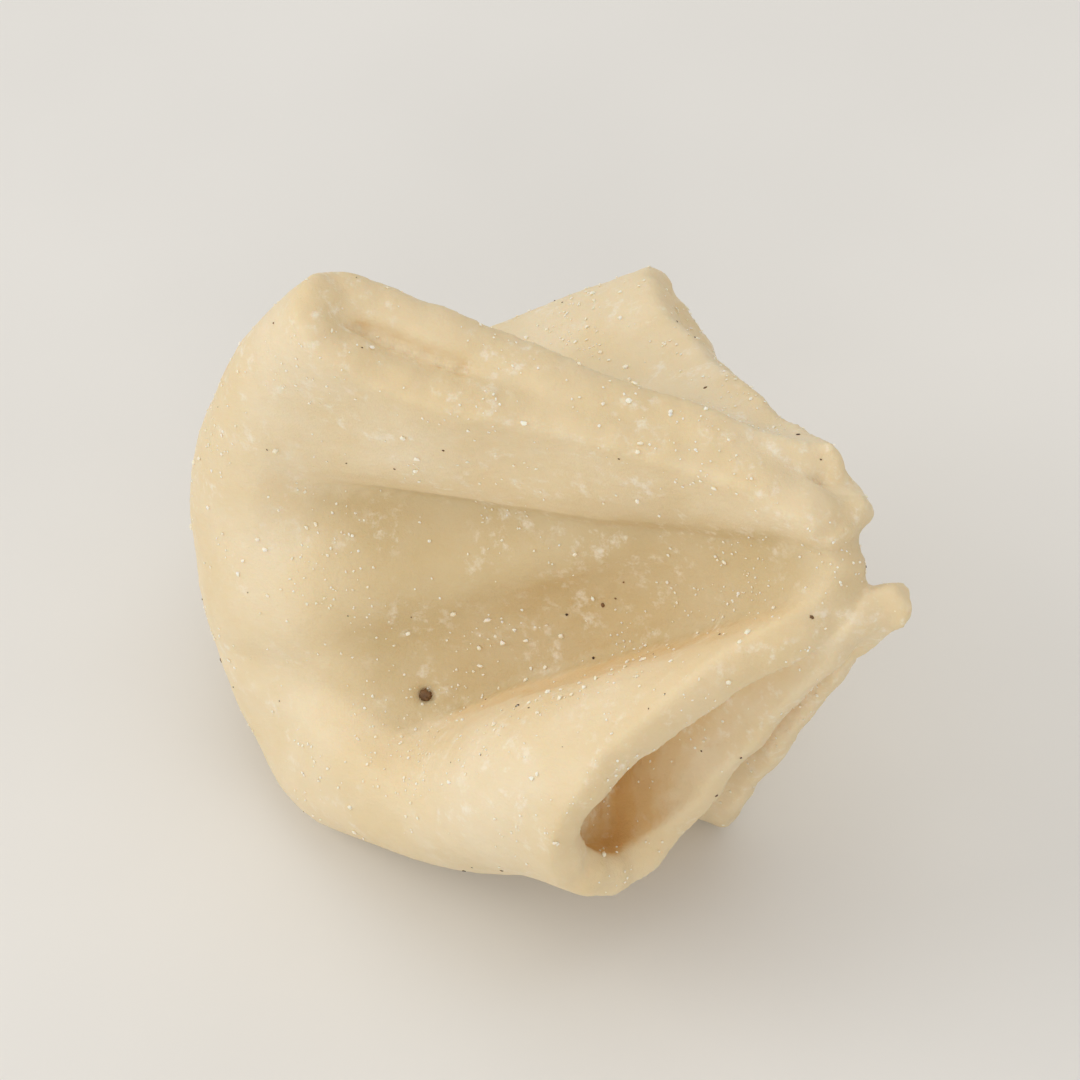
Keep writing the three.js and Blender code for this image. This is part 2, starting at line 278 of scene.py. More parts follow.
# Each crease: its wall, its depth and the share of it that is left at the far end, the widths of its two
# sides, and its path as levels and shares.
CREASES = [
    dict(ear=1, wall=AFTER, depth=2.3, left=0.5, ear_side=0.9, valley_side=3.2,
         path=[(0.60, 0.30), (0.61, 0.44), (0.675, 0.60), (0.725, 0.71), (0.78, 0.81), (0.83, 0.90),
               (0.88, 0.97), (0.95, 1.00)]),
    dict(ear=2, wall=BEFORE, depth=2.9, left=0.3, ear_side=1.1, valley_side=4.0,
         path=[(0.60, 0.38), (0.585, 0.50), (0.60, 0.63), (0.653, 0.72), (0.722, 0.785), (0.796, 0.83),
               (0.87, 0.853), (0.93, 0.857), (1.00, 0.855)]),
    dict(ear=3, wall=AFTER, depth=0.6, left=0.3, ear_side=1.5, valley_side=1.5,
         path=[(0.55, 0.55), (0.70, 0.72), (0.85, 0.86), (0.97, 0.97)]),
    dict(ear=0, wall=BEFORE, depth=0.35, left=0.3, ear_side=0.9, valley_side=0.9,
         path=[(0.62, 0.40), (0.75, 0.60), (0.98, 0.93)]),
    dict(ear=0, wall=AFTER, depth=0.5, left=0.3, ear_side=1.2, valley_side=1.2,
         path=[(0.58, 0.50), (0.72, 0.68), (0.98, 0.96)]),
]
CREASE_FLOOR = 0.35  # how far from its line a crease's floor is round
CREASE_STEPS = 240
CREASE_STARTS, CREASE_ENDS = 0.32, 0.3  # the shares of its line over which it sets in and fades
CREASES_BLEND = 3  # the higher, the less two creases add up where they meet
CREASE_REACH = 9
SIDES_CHANGE = (-0.02, 0.08)  # between these shares beyond the line, ear side turns into valley side
HOLLOW_STARTS = (-0.03, 0.01)


def crease_line(crease):
    along = np.linspace(0, 1, CREASE_STEPS + 1)
    path = np.array(crease["path"])
    at = along * (len(path) - 1)
    level, share = (np.interp(at, np.arange(len(path)), path[:, k]) for k in (0, 1))
    sets_in = np.sin(np.minimum(along / CREASE_STARTS, 1) * np.pi / 2)
    fades = crease["left"] + (1 - crease["left"]) * np.minimum((1 - along) / CREASE_ENDS, 1)
    return wall_point(crease["ear"], crease["wall"], level, share), share, crease["depth"] * sets_in * fades


def pressed(grid):
    column_ear, column_wall, column_share = (np.array(part) for part in zip(*COLUMNS))
    shift = sum(height * np.sin(grid @ np.array(wave) + phase) for wave, phase, height in LUMPS)
    press = np.zeros(shift.shape)
    hollow = np.zeros(shift.shape)
    for crease in CREASES:
        nearest = np.full(shift.shape, np.inf)
        depth = np.zeros(shift.shape)
        line_share = np.zeros(shift.shape)
        for point, share, deep in zip(*crease_line(crease)):
            distance = np.linalg.norm(grid - point, axis=-1)
            closer = distance < nearest
            nearest[closer] = distance[closer]
            depth[closer] = deep
            line_share[closer] = share
        same_wall = (column_ear == crease["ear"]) & (column_wall == crease["wall"])
        across_ear = (crease["ear"] + (1 if crease["wall"] == AFTER else -1)) % len(EARS)
        across = (column_ear == across_ear) & (column_wall != crease["wall"])
        beyond = column_share - line_share
        in_valley = np.where(across, 1, same_wall * smoothstep(beyond, *SIDES_CHANGE))
        width = crease["ear_side"] + (crease["valley_side"] - crease["ear_side"]) * in_valley
        rises = np.exp(-(np.hypot(nearest, CREASE_FLOOR) - CREASE_FLOOR) / width)
        rises *= np.maximum(1 - (nearest / CREASE_REACH) ** 2, 0)
        press += (depth * rises) ** CREASES_BLEND
        past_line = np.where(across, 1, same_wall * smoothstep(beyond, *HOLLOW_STARTS))
        hollow += (depth * rises * past_line) ** CREASES_BLEND
    shift -= press ** (1 / CREASES_BLEND)
    return grid + outward_normals(grid) * shift[..., None], hollow ** (1 / CREASES_BLEND)


folded_sheet, hollow = pressed(flat_sheet)
outer_skin = folded_sheet + outward_normals(folded_sheet) * DOUGH / 2
print("deepest hollow:", round(float(hollow.max()), 2), "mm")

# %% [markdown]
# ## Giving the sheet its thickness
#
# A Solidify modifier could thicken the sheet, but the belly is packed with filling and has to be solid. So
# the closed skin is laid out band by band: up the outside, round the cut edge, down the inside as far as
# the filling, and across its top. One function turns the bands into a mesh.

# %% The closed skin of the dough
EDGE_BULGE = 0.3  # how far the cut edge is rounded outwards
RIM_STEPS = 7
LID_STEPS = 12


def dough_bands(grid):
    normals = outward_normals(grid)
    outside = grid + normals * DOUGH / 2
    inside = grid - normals * DOUGH / 2
    beyond = grid[-1] - grid[-2]
    beyond /= np.linalg.norm(beyond, axis=-1, keepdims=True)
    bands = [outside[level] for level in range(1, RINGS + 1)]
    for across in np.arange(1, RIM_STEPS) / RIM_STEPS:
        bulge = EDGE_BULGE * math.sin(math.pi * across)
        bands.append(outside[-1] + (inside[-1] - outside[-1]) * across + beyond * bulge)
    lowest = round(FILLED * RINGS) + 1
    bands += [inside[level] for level in range(RINGS, lowest - 1, -1)]
    lid = bands[-1]
    middle = np.array((0, 0, lid[:, 2].mean()))
    bands += [lid + (middle - lid) * across for across in np.arange(1, LID_STEPS) / LID_STEPS]
    return outside[0, 0], bands, middle


def closed_skin(first, bands, last):
    count = len(bands[0])
    points = np.concatenate([[first], *bands, [last]])
    rows = [1 + row * count + np.arange(count) for row in range(len(bands))]
    faces = [(0, b, a) for a, b in zip(rows[0], np.roll(rows[0], -1))]
    for low, high in zip(rows, rows[1:]):
        faces += zip(low, np.roll(low, -1), np.roll(high, -1), high)
    faces += [(len(points) - 1, a, b) for a, b in zip(rows[-1], np.roll(rows[-1], -1))]
    return points, [tuple(int(corner) for corner in face) for face in faces]


skin_points, skin_faces = closed_skin(*dough_bands(folded_sheet))
print("skin of", len(skin_points), "points and", len(skin_faces), "faces")

# %% [markdown]
# ## The pinch
#
# Where the four corners meet, the fingers squeeze them into one rough knot: a lump between the corners,
# with small torn bits where the dough stuck to the fingertips. Each bit is a ball of dough, squashed and
# dented by a noise. They are pushed well into one another, and a later step melts them into the sheet.

# %% Balls of dough for the knot
# Each ball of the knot: its middle, and its radii.
KNOT = [
    ((0.0, 0.3, 22.0), (1.0, 1.0, 2.0)),
    ((0.7, -0.2, 22.6), (0.6, 0.6, 0.7)),
    ((-0.3, -0.3, 22.8), (0.6, 0.6, 0.7)),
    ((0.2, 0.6, 22.6), (0.6, 0.6, 0.7)),
]
DENT = 0.16
DENT_WAVES = 1.8  # the higher, the closer the dents


def dented_ball(centre, radii, seed):
    ball = bmesh.new()
    bmesh.ops.create_icosphere(ball, subdivisions=4, radius=1)
    for vertex in ball.verts:
        spot = vertex.co * DENT_WAVES + Vector((seed, 0, 0))
        vertex.co *= 1 + DENT * noise.noise(spot)
    points = np.array([vertex.co for vertex in ball.verts]) * radii + centre
    faces = [tuple(vertex.index for vertex in face.verts) for face in ball.faces]
    ball.free()
    return points, faces


knot = [dented_ball(np.array(centre), np.array(radii), seed) for seed, (centre, radii) in enumerate(KNOT)]
print("knot of", len(knot), "balls")

# %% [markdown]
# ## Where the walls stick together
#
# Inside an ear the two walls meet a little below the cut edge and stick, so the slit between them is
# shallow and has a soft floor. A strand of dough between the walls, as thick as the gap it fills, makes
# that floor. In the open ear a shorter strand closes only the end by the keel.

# %% Strands of dough between the walls
STRANDS = [
    dict(ear=0, levels=(0.94, 0.94), reach=0.8),
    dict(ear=1, levels=(0.94, 0.94), reach=0.8),
    dict(ear=2, levels=(0.97, 0.82), reach=0.5),
    dict(ear=3, levels=(0.94, 0.94), reach=0.8),
]
STRAND_SIDES = 16
STRAND_STARTS = 2  # how many steps from the keel
STRAND_OVERLAP = 0.3  # how deep it sinks into the walls
STRAND_RISE = 0.8  # half of the most that it measures along the walls
STRAND_BLUNT = 4  # the higher, the blunter its end


def strand(ear, levels, reach):
    keel_column = (2 * ear + 1) * STEPS
    steps = np.arange(STRAND_STARTS, np.searchsorted(EASED, reach))
    ring = np.round(np.interp(EASED[steps], (0, reach), levels) * RINGS).astype(int)
    before, after = folded_sheet[ring, keel_column - steps], folded_sheet[ring, keel_column + steps]
    gap = np.linalg.norm(after - before, axis=1, keepdims=True)
    middle = (before + after) / 2
    tapered = np.sqrt(1 - (EASED[steps] / reach) ** STRAND_BLUNT)[:, None]
    radius = (np.maximum(gap / 2 - DOUGH / 2, 0) + STRAND_OVERLAP) * tapered
    side = (after - before) / gap
    up = np.cross(np.gradient(middle, axis=0), side)
    up /= np.linalg.norm(up, axis=1, keepdims=True)
    turns = 2 * math.pi * np.arange(STRAND_SIDES) / STRAND_SIDES
    rise = np.minimum(radius, STRAND_RISE * tapered)
    rings = [middle + math.cos(turn) * radius * side + math.sin(turn) * rise * up for turn in turns]
    return closed_skin(middle[0], list(np.stack(rings, axis=1)), middle[-1])


strands = [strand(**where) for where in STRANDS]
print("strands:", [len(points) for points, _ in strands], "points")

# %% [markdown]
# ## Laying it down
#
# In its own frame the bundle stands upright with the pinch on top. On the table it has tipped over onto its
# belly. One rotation tips it, one turns it to the viewer, and a shift puts it where the solid model lies:
# its lowest fraction of a millimetre is under the table, and will be pressed flat.

# %% Tip, turn and seat
LEAN_OVER = 58  # degrees from upright
TURN = -25
SEAT = np.array((-8.91, 3.915, 4.4))  # where the middle of the square comes to lie


def turned_about(axis, degrees):
    turn = np.array(((1, 0, 0), (0, 1, 0), (0, 0, 1)), float)
    first, second = [(1, 2), (2, 0), (0, 1)][axis]
    cosine, sine = math.cos(math.radians(degrees)), math.sin(math.radians(degrees))
    turn[first, first] = turn[second, second] = cosine
    turn[first, second], turn[second, first] = -sine, sine
    return turn


LAY = turned_about(2, TURN) @ turned_about(1, LEAN_OVER)


def lay(points):
    return points @ LAY.T + SEAT


def mesh_object(name, points, faces):
    mesh = bpy.data.meshes.new(name)
    mesh.from_pydata([tuple(point) for point in points], [], faces)
    mesh.update()
    piece = bpy.data.objects.new(name, mesh)
    bpy.context.scene.collection.objects.link(piece)
    return piece


def joined(parts):
    points, faces, count = [], [], 0
    for part_points, part_faces in parts:
        points.append(part_points)
        faces += [tuple(corner + count for corner in face) for face in part_faces]
        count += len(part_points)
    return np.concatenate(points), faces


points, faces = joined([(skin_points, skin_faces), *knot, *strands])
dough = mesh_object("dough", lay(points), faces)
print("laid down; lowest point", round(min(vertex.co.z for vertex in dough.data.vertices), 2), "mm")

# %% [markdown]
# ## Melting it into one skin
#
# The walls of an ear press into each other and into the knot. Real dough sticks together there, and leaves
# a soft crease, not two skins that pass through each other. A voxel remesh does just that: it keeps only
# the outside of all the closed shapes together. It leaves tiny stairs, which a few rounds of smoothing take
# away.

# %% Remesh and smooth
VOXEL = 0.19  # fine enough for the cut edge, and coarse enough for a mesh of moderate size
SMOOTH_ROUNDS = 3
SMOOTH_SHARE = 0.5  # how far each round moves a point towards its neighbours' middle

melt = dough.modifiers.new("melt together", "REMESH")
melt.mode = "VOXEL"
melt.voxel_size = VOXEL
melt.use_smooth_shade = True
soften = dough.modifiers.new("soften", "SMOOTH")
soften.factor = SMOOTH_SHARE
soften.iterations = SMOOTH_ROUNDS


def baked_in(piece):
    """Replaces a piece's mesh by what its modifiers make of it."""
    graph = bpy.context.evaluated_depsgraph_get()
    made = bpy.data.meshes.new_from_object(piece.evaluated_get(graph))
    piece.modifiers.clear()
    old, piece.data = piece.data, made
    bpy.data.meshes.remove(old)
    return piece


baked_in(dough)
print("one skin of", len(dough.data.polygons), "faces")

# %% [markdown]
# ## Relief in the dough
#
# Close up, dough isn't smooth: semolina and flour make it slightly pebbled, and it tears a little along the
# cut edge and where it was pinched. Bump in a material would show none of this along the outline, so the
# vertices are moved. Fractal noise gives pebbles of several sizes, and it is stronger near the cut edge and
# the knot.

# %% Move the vertices by noise
PEBBLES = dict(size=1.3, height=0.03)
GRAIN = dict(size=0.4, height=0.016)
TEARS = dict(size=0.6, height=0.06, reach=0.5)  # this reach is in thicknesses of the dough
NOISE_FADES, NOISE_FINER = 0.7, 2.1  # how each octave of the noise differs from the one before it


def read_points(mesh):
    flat = np.empty(len(mesh.vertices) * 3, np.float32)
    mesh.vertices.foreach_get("co", flat)
    return flat.reshape(-1, 3).astype(float)


def read_normals(mesh):
    flat = np.empty(len(mesh.vertices) * 3, np.float32)
    mesh.vertices.foreach_get("normal", flat)
    return flat.reshape(-1, 3).astype(float)


def write_points(mesh, points):
    mesh.vertices.foreach_set("co", points.astype(np.float32).ravel())
    mesh.update()


def noise_at(points, size, octaves=2):
    spots = [Vector(point / size) for point in points]
    return np.array([noise.fractal(spot, NOISE_FADES, NOISE_FINER, octaves) for spot in spots])


def tree_of(places):
    tree = KDTree(len(places))
    for index, place in enumerate(places):
        tree.insert(place, index)
    tree.balance()
    return tree


def nearness(points, places):
    """1 at the places, and hardly anything beyond twice the tears' reach."""
    tree = tree_of(places)
    distances = np.array([tree.find(point)[2] for point in points])
    return np.exp(-((distances / TEARS["reach"] / DOUGH) ** 2))


points = read_points(dough.data)
normals = read_normals(dough.data)
cut_edge = lay(folded_sheet[-1])
knot_balls = lay(np.array([centre for centre, _ in KNOT]))
torn = np.maximum(nearness(points, cut_edge), nearness(points, knot_balls))
relief = (
    PEBBLES["height"] * noise_at(points, PEBBLES["size"])
    + GRAIN["height"] * noise_at(points, GRAIN["size"])
    + TEARS["height"] * torn * noise_at(points, TEARS["size"])
)
points = points + normals * relief[:, None]
print("relief from", round(relief.min(), 2), "to", round(relief.max(), 2), "mm")

# %% [markdown]
# ## A pore and a flat underside
#
# One burst bubble left a round pore in the front fold. It is a small dent. Underneath, the soft dough has
# settled flat on the table, so every point below it is lifted to it.

# %% Dent the pore, flatten the base
PORE = dict(ear=2, wall=BEFORE, level=0.542, share=0.665, radius=0.27, depth=0.3)

ring = round(PORE["level"] * RINGS)
wall_of_pore = (PORE["ear"], PORE["wall"])
same_wall = [number for number, (ear, wall, _) in enumerate(COLUMNS) if (ear, wall) == wall_of_pore]
column = min(same_wall, key=lambda number: abs(COLUMNS[number][2] - PORE["share"]))
near_pore = np.argmin(np.linalg.norm(points - lay(outer_skin[ring, column]), axis=1))
pore_at, pore_out = points[near_pore].copy(), normals[near_pore].copy()
off = np.linalg.norm(points - pore_at, axis=1) / PORE["radius"]
points -= pore_out * (PORE["depth"] * np.exp(-off**2))[:, None]
points[:, 2] = np.maximum(points[:, 2], 0)
write_points(dough.data, points)
print("pore at", pore_at.round(2), "mm; base", int((points[:, 2] == 0).sum()), "points flat")

# %% [markdown]
# ## How sheltered each point is
#
# Light that enters a crease bounces between two cream walls and comes out ochre. Cycles follows that light,
# but the finish also paints shade into the folds, darker and more ochre the more sheltered a point is, so
# it has to know how open each point lies. A fan of rays from every vertex tells: the share that escapes is
# stored on the mesh as an attribute. Two more attributes keep how near a tear each point lies, and how deep
# in a pressed hollow, where shade is painted too.

# %% Measure the openness of the folds
RAYS = 20
RAY_REACH = 6.0  # beyond this a fold no longer shelters
GOLDEN_TURN = math.pi * (1 + math.sqrt(5))  # from each ray to the next, so that no two line up
HOLLOW_BLUR = 14  # how many points of the sheet are averaged


def ray_fan(count):
    """Directions spread evenly over the half ball above +Z."""
    step = np.arange(count) + 0.5
    height = np.sqrt(1 - step / count)
    angle = GOLDEN_TURN * step
    width = np.sqrt(1 - height**2)
    return np.stack([width * np.cos(angle), width * np.sin(angle), height], axis=1)


def openness(mesh):
    tree = BVHTree.FromPolygons([v.co for v in mesh.vertices], [p.vertices for p in mesh.polygons])
    fan = [Vector(direction) for direction in ray_fan(RAYS)]
    found = np.empty(len(mesh.vertices), np.float32)
    for index, vertex in enumerate(mesh.vertices):
        start = vertex.co + vertex.normal * VOXEL
        turn = vertex.normal.to_track_quat("Z", "Y")
        free = sum(tree.ray_cast(start, turn @ direction, RAY_REACH)[0] is None for direction in fan)
        found[index] = free / RAYS
    return found


def store(mesh, name, values):
    mesh.attributes.new(name, "FLOAT", "POINT").data.foreach_set("value", values.astype(np.float32))


open_share = openness(dough.data)
skin_tree = tree_of(lay(outer_skin).reshape(-1, 3))
around = ([index for _, index, _ in skin_tree.find_n(point, HOLLOW_BLUR)] for point in points)
hollow_here = np.array([np.mean(hollow.flat[nearest]) for nearest in around])
store(dough.data, "open_share", open_share)
store(dough.data, "torn", torn)
store(dough.data, "hollow", hollow_here)
print("openness from", round(float(open_share.min()), 2), "to", round(float(open_share.max()), 2))

# %% [markdown]
# ## The dough's finish
#
# Raw wheat dough is cream, matt and a little translucent: light goes in for most of a millimetre.
# Subsurface scattering gives that. The colour drifts between cream and a warmer yellow over a few
# millimetres, is painted darker and ochre as shade deep in the folds, and pales in patches where dry flour
# clings to the skin. The cut edge and the torn knot are a little darker, and painted shade darkens the
# pressed hollows, by multiplying. A fine bump stands for grains smaller than the mesh can hold. Numbers
# that are the same everywhere are set straight on the shader.

# %% Helpers for node materials
def srgb(red, green, blue):
    """A colour as picked from a screen, 0 to 255, as Blender's linear colour."""
    shares = [value / 255 for value in (red, green, blue)]
    linear = [((share + 0.055) / 1.055) ** 2.4 if share > 0.04045 else share / 12.92 for share in shares]
    return (*linear, 1.0)


def new_material(name):
    material = bpy.data.materials.new(name)
    material.use_nodes = True
    return material, material.node_tree, material.node_tree.nodes["Principled BSDF"]


def add_node(tree, kind, inputs=None, **settings):
    made = tree.nodes.new(kind)
    for name, value in settings.items():
        setattr(made, name, value)
    for name, value in (inputs or {}).items():
        if isinstance(value, bpy.types.NodeSocket):
            tree.links.new(value, made.inputs[name])
        else:
            made.inputs[name].default_value = value
    return made


def noise_node(tree, size_mm, detail=3.0, roughness=0.55):
    place = add_node(tree, "ShaderNodeTexCoord").outputs["Object"]
    scale = 1 / (size_mm * MM)
    inputs = {"Vector": place, "Scale": scale, "Detail": detail, "Roughness": roughness}
    return add_node(tree, "ShaderNodeTexNoise", inputs).outputs["Fac"]


def ranged(tree, value, low, high, to_low=0.0, to_high=1.0):
    inputs = {"Value": value, "From Min": low, "From Max": high, "To Min": to_low, "To Max": to_high}
    return add_node(tree, "ShaderNodeMapRange", inputs, interpolation_type="SMOOTHSTEP").outputs["Result"]


FIRST_COLOUR, SECOND_COLOUR, MIXED_COLOUR = 6, 7, 2  # a mix node's sockets for colours


def blended(tree, share, first, second, way="MIX"):
    mix = add_node(tree, "ShaderNodeMix", data_type="RGBA", blend_type=way)
    for name, value in (("Factor", share), (FIRST_COLOUR, first), (SECOND_COLOUR, second)):
        socket = mix.inputs[name]
        if isinstance(value, bpy.types.NodeSocket):
            tree.links.new(value, socket)
        else:
            socket.default_value = value
    return mix.outputs[MIXED_COLOUR]


print("cream as linear light:", [round(value, 3) for value in srgb(241, 225, 194)])

# %% Dough: cream skin, ochre shade painted in folds and hollows, patches of dry flour
CREAM = srgb(241, 225, 194)
WARM = srgb(228, 204, 156)
# Painted shade: the ochre that sheltered folds turn to.
SHADE_OCHRE = srgb(222, 180, 112)
FLOUR = srgb(250, 244, 230)
CUT = srgb(222, 196, 148)
# Painted shade, multiplied into the pressed hollows.
HOLLOW_SHADE = (0.79, 0.75, 0.65, 1.0)
LIGHT_ENTERS = 0.7 * MM
LIGHT_TINT = (1.0, 0.62, 0.34)
# Each range says between which values of what it follows, and then between which shares, a colour sets in.
WARM_RANGE = (0.3, 0.7, 0.15, 0.6)
# Painted shade in the folds sets in as openness falls from the first value to the second.
SHADE_OCHRE_RANGE = (0.62, 0.22, 0.0, 0.85)
CUT_RANGE = (0.1, 0.8, 0.0, 0.35)
# Between these hollow depths, in mm, the painted shade of the hollows sets in.
HOLLOW_SHADE_RANGE = (0.5, 1.5)
DUST_RANGE = (0.5, 0.72, 0.0, 0.55)
DUST_PATCHES = (0.42, 0.6)
ROUGHNESS_RANGE = (0.3, 0.7, 0.52, 0.78)


def dough_finish():
    material, tree, shader = new_material("dough")
    open_skin = add_node(tree, "ShaderNodeAttribute", attribute_name="open_share").outputs["Fac"]
    drift = ranged(tree, noise_node(tree, 3.2), *WARM_RANGE)
    colour = blended(tree, drift, CREAM, WARM)
    # Painted shade: the less open a point lies, the more it turns to a darker ochre.
    depth = ranged(tree, open_skin, *SHADE_OCHRE_RANGE)
    colour = blended(tree, depth, colour, SHADE_OCHRE)
    cut = add_node(tree, "ShaderNodeAttribute", attribute_name="torn").outputs["Fac"]
    colour = blended(tree, ranged(tree, cut, *CUT_RANGE), colour, CUT)
    # Painted shade: the pressed hollows are darkened by multiplying.
    in_hollow = add_node(tree, "ShaderNodeAttribute", attribute_name="hollow").outputs["Fac"]
    colour = blended(tree, ranged(tree, in_hollow, *HOLLOW_SHADE_RANGE), colour, HOLLOW_SHADE, "MULTIPLY")
    dusted = ranged(tree, noise_node(tree, 0.5, 4.0, 0.7), *DUST_RANGE)
    patches = ranged(tree, noise_node(tree, 2.4), *DUST_PATCHES)
    dusted = add_node(tree, "ShaderNodeMath", {0: dusted, 1: patches}, operation="MULTIPLY").outputs[0]
    colour = blended(tree, dusted, colour, FLOUR)
    tree.links.new(colour, shader.inputs["Base Color"])
    rough = ranged(tree, noise_node(tree, 0.35), *ROUGHNESS_RANGE)
    tree.links.new(rough, shader.inputs["Roughness"])
    grain = add_node(tree, "ShaderNodeMath",
                     {0: noise_node(tree, 0.16, 4.0, 0.7), 1: noise_node(tree, 0.55, 3.0)}, operation="ADD")
    bump = add_node(tree, "ShaderNodeBump",
                    {"Height": grain.outputs[0], "Distance": 0.06 * MM, "Strength": 0.55})
    tree.links.new(bump.outputs["Normal"], shader.inputs["Normal"])
    shader.inputs["Subsurface Weight"].default_value = 0.25
    shader.inputs["Subsurface Radius"].default_value = LIGHT_TINT
    shader.inputs["Subsurface Scale"].default_value = LIGHT_ENTERS
    shader.inputs["Specular IOR Level"].default_value = 0.35
    return material


dough.data.materials.clear()
dough.data.materials.append(dough_finish())
print("dough has", len(dough.data.materials[0].node_tree.nodes), "shader nodes")

# %% [markdown]
# ## Flour grains and bran specks
#
# White grains of coarse flour lie on the skin, a twentieth to a quarter of a millimetre across, thickest in
# a few patches. Tiny brown specks of bran sit in the dough itself. Instances on the surface would be
# lighter, but a dumpling that is used elsewhere needs real meshes: each kind becomes one joined mesh of
# small dented stones.

# %% Scatter stones over the skin
SPOT_JITTER = VOXEL / 3  # how far a stone lies from the middle of its face
CORNERS_VARY = (0.6, 1.25)
STONES_NARROW = (0.6, 1.0)
BETWEEN_PATCHES = 0.12  # how likely flour is between its patches; on them it is up to 1 likelier
UNDERSIDE_BARE = (-0.6, 0.3)  # flour thins out as a face's normal sinks from the second to the first
STONES_ABOVE = 0.02  # how far every stone stays above the table


def skin_spots(mesh, count, weight):
    """Random places on a mesh, with the normal there; weight makes some faces likelier for their area."""
    area = np.array([face.area for face in mesh.polygons])
    centre = np.array([face.center for face in mesh.polygons])
    normal = np.array([face.normal for face in mesh.polygons])
    likely = area * weight(centre, normal)
    picked = chance.choice(len(area), size=count, p=likely / likely.sum())
    jitter = chance.normal(0, SPOT_JITTER, (count, 3))
    jitter -= normal[picked] * np.sum(jitter * normal[picked], axis=1, keepdims=True)
    return centre[picked] + jitter, normal[picked]


def stone(at, normal, width, flatness, sink, subdivisions):
    ball = bmesh.new()
    bmesh.ops.create_icosphere(ball, subdivisions=subdivisions, radius=1)
    corners = np.array([vertex.co for vertex in ball.verts])
    faces = [tuple(vertex.index for vertex in face.verts) for face in ball.faces]
    ball.free()
    corners = corners * chance.uniform(*CORNERS_VARY, (len(corners), 1))
    corners *= width / 2 * np.array((1.0, chance.uniform(*STONES_NARROW), flatness))
    spin = turned_about(2, chance.uniform(0, 360))
    stand = np.array(Vector(normal).to_track_quat("Z", "Y").to_matrix())
    return corners @ (stand @ spin).T + at + normal * width * (flatness / 2 - sink), faces


def patchy(size, low, high):
    """Likelier where a large noise is high, on skin that looks up or to the side."""

    def weight(centre, normal):
        patch = np.array([noise.noise(Vector(point / size)) for point in centre])
        return (BETWEEN_PATCHES + smoothstep(patch, low, high)) * smoothstep(normal[:, 2], *UNDERSIDE_BARE)

    return weight


def everywhere(centre, normal):
    return np.ones(len(centre))


def scattered(name, kinds):
    """Each kind says how many, how wide, how flat, how far sunk, how finely meshed, and where likelier."""
    stones = []
    for count, widths, flatness, sink, subdivisions, weight in kinds:
        for at, normal in zip(*skin_spots(dough.data, count, weight)):
            width = chance.uniform(*widths)
            stones.append(stone(at, normal, width, flatness, sink, subdivisions))
    points, faces = joined(stones)
    points[:, 2] = np.maximum(points[:, 2], STONES_ABOVE)
    piece = mesh_object(name, points, faces)
    print(name, "-", len(stones), "stones,", len(faces), "faces")
    return piece


flour = scattered("flour_grains", [
    (240, (0.11, 0.24), 0.55, 0.12, 1, patchy(4.0, 0.0, 0.45)),
    (1900, (0.05, 0.12), 0.6, 0.12, 1, patchy(2.4, 0.0, 0.4)),
])
bran_and_pore_shade = scattered("bran_specks_and_pore_shade", [
    (32, (0.1, 0.18), 0.35, 0.1, 2, everywhere),
    (90, (0.05, 0.1), 0.4, 0.1, 1, everywhere),
])

# %% [markdown]
# ## Painted shade on the pore's floor
#
# The bottom of the pore is painted dark as shade. A small dented dark disc lies in it, joined to the bran
# specks: it shares their mesh and their finish.

# %% Put the painted shade disc into the pore
PORE_SHADE_DISC = dict(width=0.36, flatness=0.4, sink=0.0, subdivisions=3)
SHADE_DISC_DOWN = 0.55  # the share of the pore's depth at which it lies

# Painted shade: a dark disc fills the bottom of the pore, where shade falls.
shade_disc_points, shade_disc_faces = stone(pore_at - pore_out * PORE["depth"] * SHADE_DISC_DOWN, pore_out, **PORE_SHADE_DISC)
old_points = read_points(bran_and_pore_shade.data)
old_faces = [tuple(face.vertices) for face in bran_and_pore_shade.data.polygons]
points, faces = joined([(old_points, old_faces), (shade_disc_points, shade_disc_faces)])
bpy.data.objects.remove(bran_and_pore_shade)
bran_and_pore_shade = mesh_object("bran_specks_and_pore_shade", points, faces)
print("bran specks:", len(faces), "faces")

# %% [markdown]
# ## Finishes of the grains
#
# Flour and bran need the same few nodes with other colours: a drift between a light and a dark tone, and a
# fine bump. So one function makes both. Flour lets some light in, as the dough does, and bran lets none in.

# %% Flour and bran
def grain_finish(name, light, dark, size_mm, roughness, enters):
    material, tree, shader = new_material(name)
    drift = ranged(tree, noise_node(tree, size_mm), 0.35, 0.65)
    tree.links.new(blended(tree, drift, light, dark), shader.inputs["Base Color"])
    bump = add_node(tree, "ShaderNodeBump",
                    {"Height": noise_node(tree, 0.05), "Distance": 0.02 * MM, "Strength": 0.5})
    tree.links.new(bump.outputs["Normal"], shader.inputs["Normal"])
    shader.inputs["Roughness"].default_value = roughness
    shader.inputs["Subsurface Weight"].default_value = enters
    shader.inputs["Subsurface Radius"].default_value = LIGHT_TINT
    shader.inputs["Subsurface Scale"].default_value = 0.2 * MM
    return material


flour.data.materials.append(grain_finish("flour", srgb(255, 250, 234), srgb(251, 240, 214), 0.8, 0.6, 0.3))
# The bran finish also colours the painted shade disc in the pore.
bran_and_pore_shade.data.materials.append(grain_finish("bran_and_pore_shade", srgb(128, 92, 54), srgb(66, 44, 26), 1.5, 0.6, 0.0))
print("finishes:", [material.name for material in bpy.data.materials])

# %% [markdown]
# ## Back to metres
#
# All shapes are done, so each mesh is scaled to metres. Dough and bran are shaded smooth, and flour stays
# in facets, which glint as its grains do. Every piece rides on the model's one body. The dough takes the
# place of the plain solid.

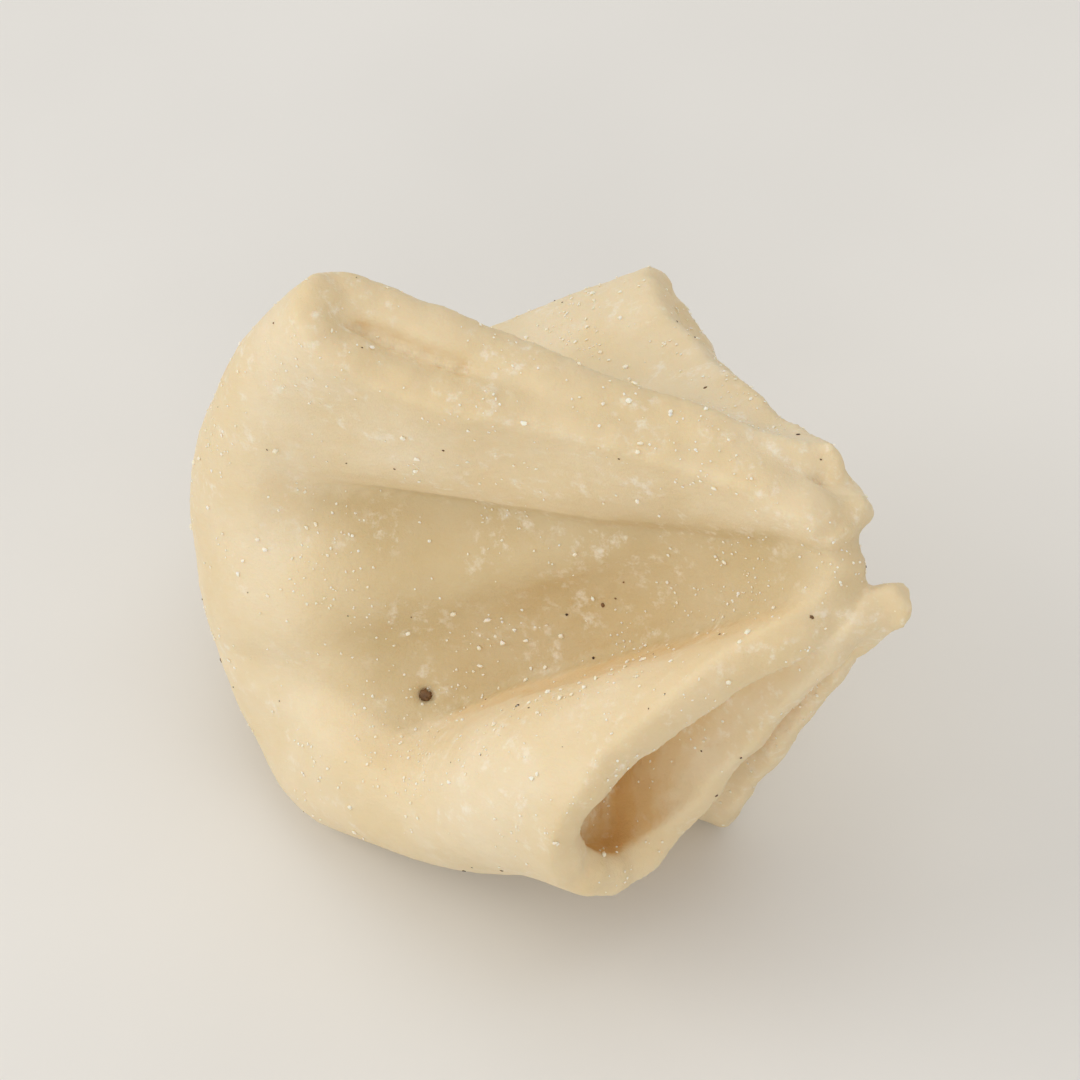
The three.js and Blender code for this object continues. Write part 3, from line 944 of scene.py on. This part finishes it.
# %% Scale, shade smooth and fasten
pieces = [dough, flour, bran_and_pore_shade]
for piece in pieces:
    write_points(piece.data, read_points(piece.data) * MM)
    piece.data.polygons.foreach_set("use_smooth", [piece is not flour] * len(piece.data.polygons))
    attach(piece, "root")
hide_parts("manti")
print("pieces:", [piece.name for piece in pieces])

# %% [markdown]
# ## Table, light and camera
#
# A plain pale table, and three soft lamps that are large beside so small a piece: the main one low on the
# left, which rakes over the folds, one from the front to open their shadows, and one from above. A pale
# world fills in the rest. The camera looks down by fifty degrees from a distance, with a long lens, because
# a short one close by would make the near ear look too large.

# %% The table
TABLE_HALF = 0.6


def table_finish():
    material, tree, shader = new_material("table")
    drift = ranged(tree, noise_node(tree, 30.0), 0.3, 0.7)
    colour = blended(tree, drift, srgb(238, 236, 232), srgb(232, 230, 226))
    tree.links.new(colour, shader.inputs["Base Color"])
    shader.inputs["Roughness"].default_value = 0.8
    return material


corners = [(x * TABLE_HALF, y * TABLE_HALF, 0) for x, y in ((-1, -1), (1, -1), (1, 1), (-1, 1))]
table = mesh_object("table", corners, [(0, 1, 2, 3)])
table.data.materials.append(table_finish())
print("table", 2 * TABLE_HALF, "m wide")

# %% Soft lights
LAMP_AWAY = 0.4
LAMP_WIDTH = 0.3

middle = (solid_box[0] + solid_box[1]) / 2


def soft_light(name, direction, power, colour):
    lamp = bpy.data.lights.new(name, "AREA")
    lamp.shape = "DISK"
    lamp.size = LAMP_WIDTH
    lamp.energy = power
    lamp.color = colour
    holder = bpy.data.objects.new(name, lamp)
    bpy.context.scene.collection.objects.link(holder)
    holder.location = middle + Vector(direction).normalized() * LAMP_AWAY
    holder.rotation_euler = (middle - holder.location).to_track_quat("-Z", "Y").to_euler()
    return holder


soft_light("main light", (-0.88, 0.02, 0.47), 0.48, (1.0, 0.98, 0.95))
soft_light("front light", (0.0, -0.87, 0.5), 0.26, (1.0, 0.99, 0.97))
soft_light("top light", (0.12, 0.05, 1.0), 0.22, (1.0, 0.99, 0.97))

world = bpy.data.worlds.new("studio")
bpy.context.scene.world = world
world.use_nodes = True
background = world.node_tree.nodes["Background"]
background.inputs["Color"].default_value = (1.0, 0.985, 0.96, 1.0)
background.inputs["Strength"].default_value = 0.6
bpy.context.scene.view_settings.view_transform = "Standard"

# %% The camera
ELEVATION = 50
LENS = 200
SENSOR = 36
FRAME_WIDTH = 33 * MM  # what the picture shows from side to side, at the dumpling

camera_data = bpy.data.cameras.new("camera")
camera_data.lens = LENS
camera_data.sensor_width = SENSOR
camera_data.clip_start = 0.01
camera = bpy.data.objects.new("camera", camera_data)
bpy.context.scene.collection.objects.link(camera)
bpy.context.scene.camera = camera
rise = math.radians(ELEVATION)
away = Vector((0, -math.cos(rise), math.sin(rise)))
camera.location = middle + away * (FRAME_WIDTH * LENS / SENSOR)
camera.rotation_euler = (-away).to_track_quat("-Z", "Y").to_euler()
print("camera", round((camera.location - middle).length / MM), "mm away")
